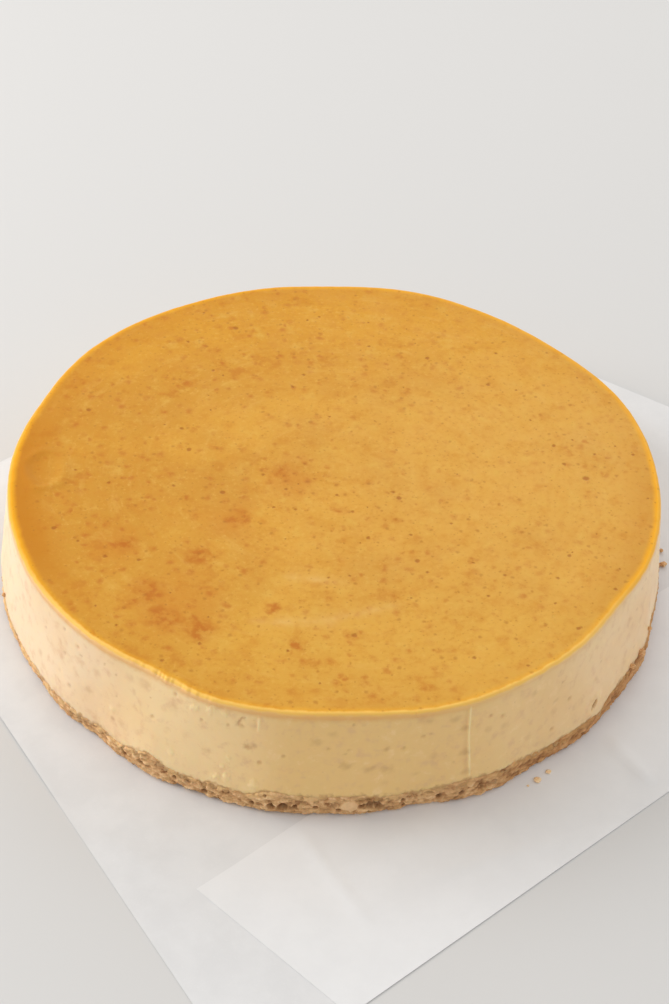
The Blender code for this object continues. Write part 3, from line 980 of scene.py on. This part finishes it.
def make_paper(name, corners, height_of, material):
    """A sheet of parchment with these corners, whose underside lies at height_of its points."""
    first_side = corners[1] - corners[0]
    turn = Matrix.Rotation(math.atan2(first_side.y, first_side.x), 4, "Z")
    reach = 0.27  # past every corner
    cell = 1.8 * MM
    count = int(2 * reach / cell)
    sheet = bmesh.new()
    bmesh.ops.create_grid(sheet, x_segments=count, y_segments=count, size=reach, matrix=turn)
    for a, b in zip(corners, corners[1:] + corners[:1]):
        outward = Vector(((b - a).y, -(b - a).x, 0)).normalized()
        everything = sheet.verts[:] + sheet.edges[:] + sheet.faces[:]
        corner = a.to_3d()
        bmesh.ops.bisect_plane(sheet, geom=everything, plane_co=corner, plane_no=outward, clear_outer=True)
    heights = height_of(np.array([v.co for v in sheet.verts]))
    for vertex, height in zip(sheet.verts, heights):
        vertex.co.z = height
    for edge in sheet.edges:
        edge.smooth = not edge.is_boundary
    mesh = bpy.data.meshes.new(name)
    sheet.to_mesh(mesh)
    sheet.free()
    obj = new_object(name, mesh, material)
    thick = obj.modifiers.new("thickness", "SOLIDIFY")
    thick.thickness = PAPER_THICKNESS
    thick.offset = 1
    return obj


def make_parchment():
    """The torn sheet under the cake, and the strip that lies on it under the cake's edge."""
    single = parchment_paper("parchment", 1)
    double = parchment_paper("parchment_doubled", 2)
    under_cake = "parchment_under_cake"
    for name, node, body, height_of, material, lies_on in (
        (under_cake, "parchment_sheet", "sheet", sheet_height, single, ()),
        ("parchment_under_edge", "parchment_strip", "strip", strip_height, double, (under_cake,)),
    ):
        corners = outline_of(node)
        obj = make_paper(name, corners, height_of, material)
        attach(obj, body)
        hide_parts(node)
        area_of(corners)


# ---- light, floor and camera
def make_floor():
    """A plain pale table top."""
    g = Graph("plain_floor")
    bpy.ops.mesh.primitive_plane_add(size=6, location=(0, 0, -0.05 * MM))
    floor = bpy.context.object
    floor.name = "floor"
    floor.data.materials.append(g.finish(srgb(213, 212, 210), 0.6))


def area_light(name, place, size, power, colour):
    """A round lamp this wide, turned towards the cake."""
    light = bpy.data.lights.new(name, "AREA")
    light.shape = "DISK"
    light.size = size
    light.energy = power
    light.color = colour
    obj = bpy.data.objects.new(name, light)
    bpy.context.scene.collection.objects.link(obj)
    obj.location = place
    obj.rotation_euler = (-Vector(place)).to_track_quat("-Z", "Y").to_euler()


def make_lights():
    """Soft daylight: mostly from a window at the left, some from behind and a little from the right."""
    area_light("window_left", (-1.15, 0.25, 0.60), 0.9, 11.4, (1.0, 0.985, 0.975))
    area_light("window_back", (0.25, 1.6, 1.1), 1.2, 4.7, (1.0, 0.995, 0.99))
    area_light("window_right", (1.2, 0.45, 0.55), 0.9, 2.6, (1.0, 0.985, 0.98))
    world = bpy.data.worlds.new("studio")
    world.use_nodes = True
    background = world.node_tree.nodes["Background"]
    background.inputs["Color"].default_value = (1.0, 0.99, 0.98, 1)
    background.inputs["Strength"].default_value = 0.70
    bpy.context.scene.world = world


def make_camera():
    """From in front and above, close, looking down at 42 degrees, with a slight roll."""
    camera = bpy.data.cameras.new("camera")
    camera.sensor_width = 36
    camera.lens = 66.05
    camera.clip_start, camera.clip_end = 0.01, 20
    obj = bpy.data.objects.new("camera", camera)
    bpy.context.scene.collection.objects.link(obj)
    pitch, roll = math.radians(41.777), math.radians(2.533)
    turned = Matrix.Rotation(math.pi / 2 - pitch, 4, "X") @ Matrix.Rotation(roll, 4, "Z")
    obj.matrix_world = Matrix.Translation((0.1 * MM, -469.1 * MM, BASE + 445.8 * MM)) @ turned
    bpy.context.scene.camera = obj


def main():
    """Makes every piece, puts it on its body and hides the solid it stands for, then the stage."""
    crumb_material = biscuit()
    for made, node, slot in (
        (make_crust(crumb_material), "crumb_crust", "biscuit_crumb"),
        (make_filling(custard()), "filling", "pumpkin_custard"),
        (make_top(browned_skin()), "baked_top", "browned_custard"),
    ):
        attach(made, "cake")
        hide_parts(node)
    for body, nodes in frame["record"]["behaviour"]["bodies"].items():
        for node in nodes:
            if "_crumb_" in node:
                piece = make_crumb(node, crumb_material)
                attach(piece, body)
                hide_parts(node)
    make_parchment()
    make_floor()
    make_lights()
    make_camera()
    bpy.context.scene.view_settings.view_transform = "Standard"


main()
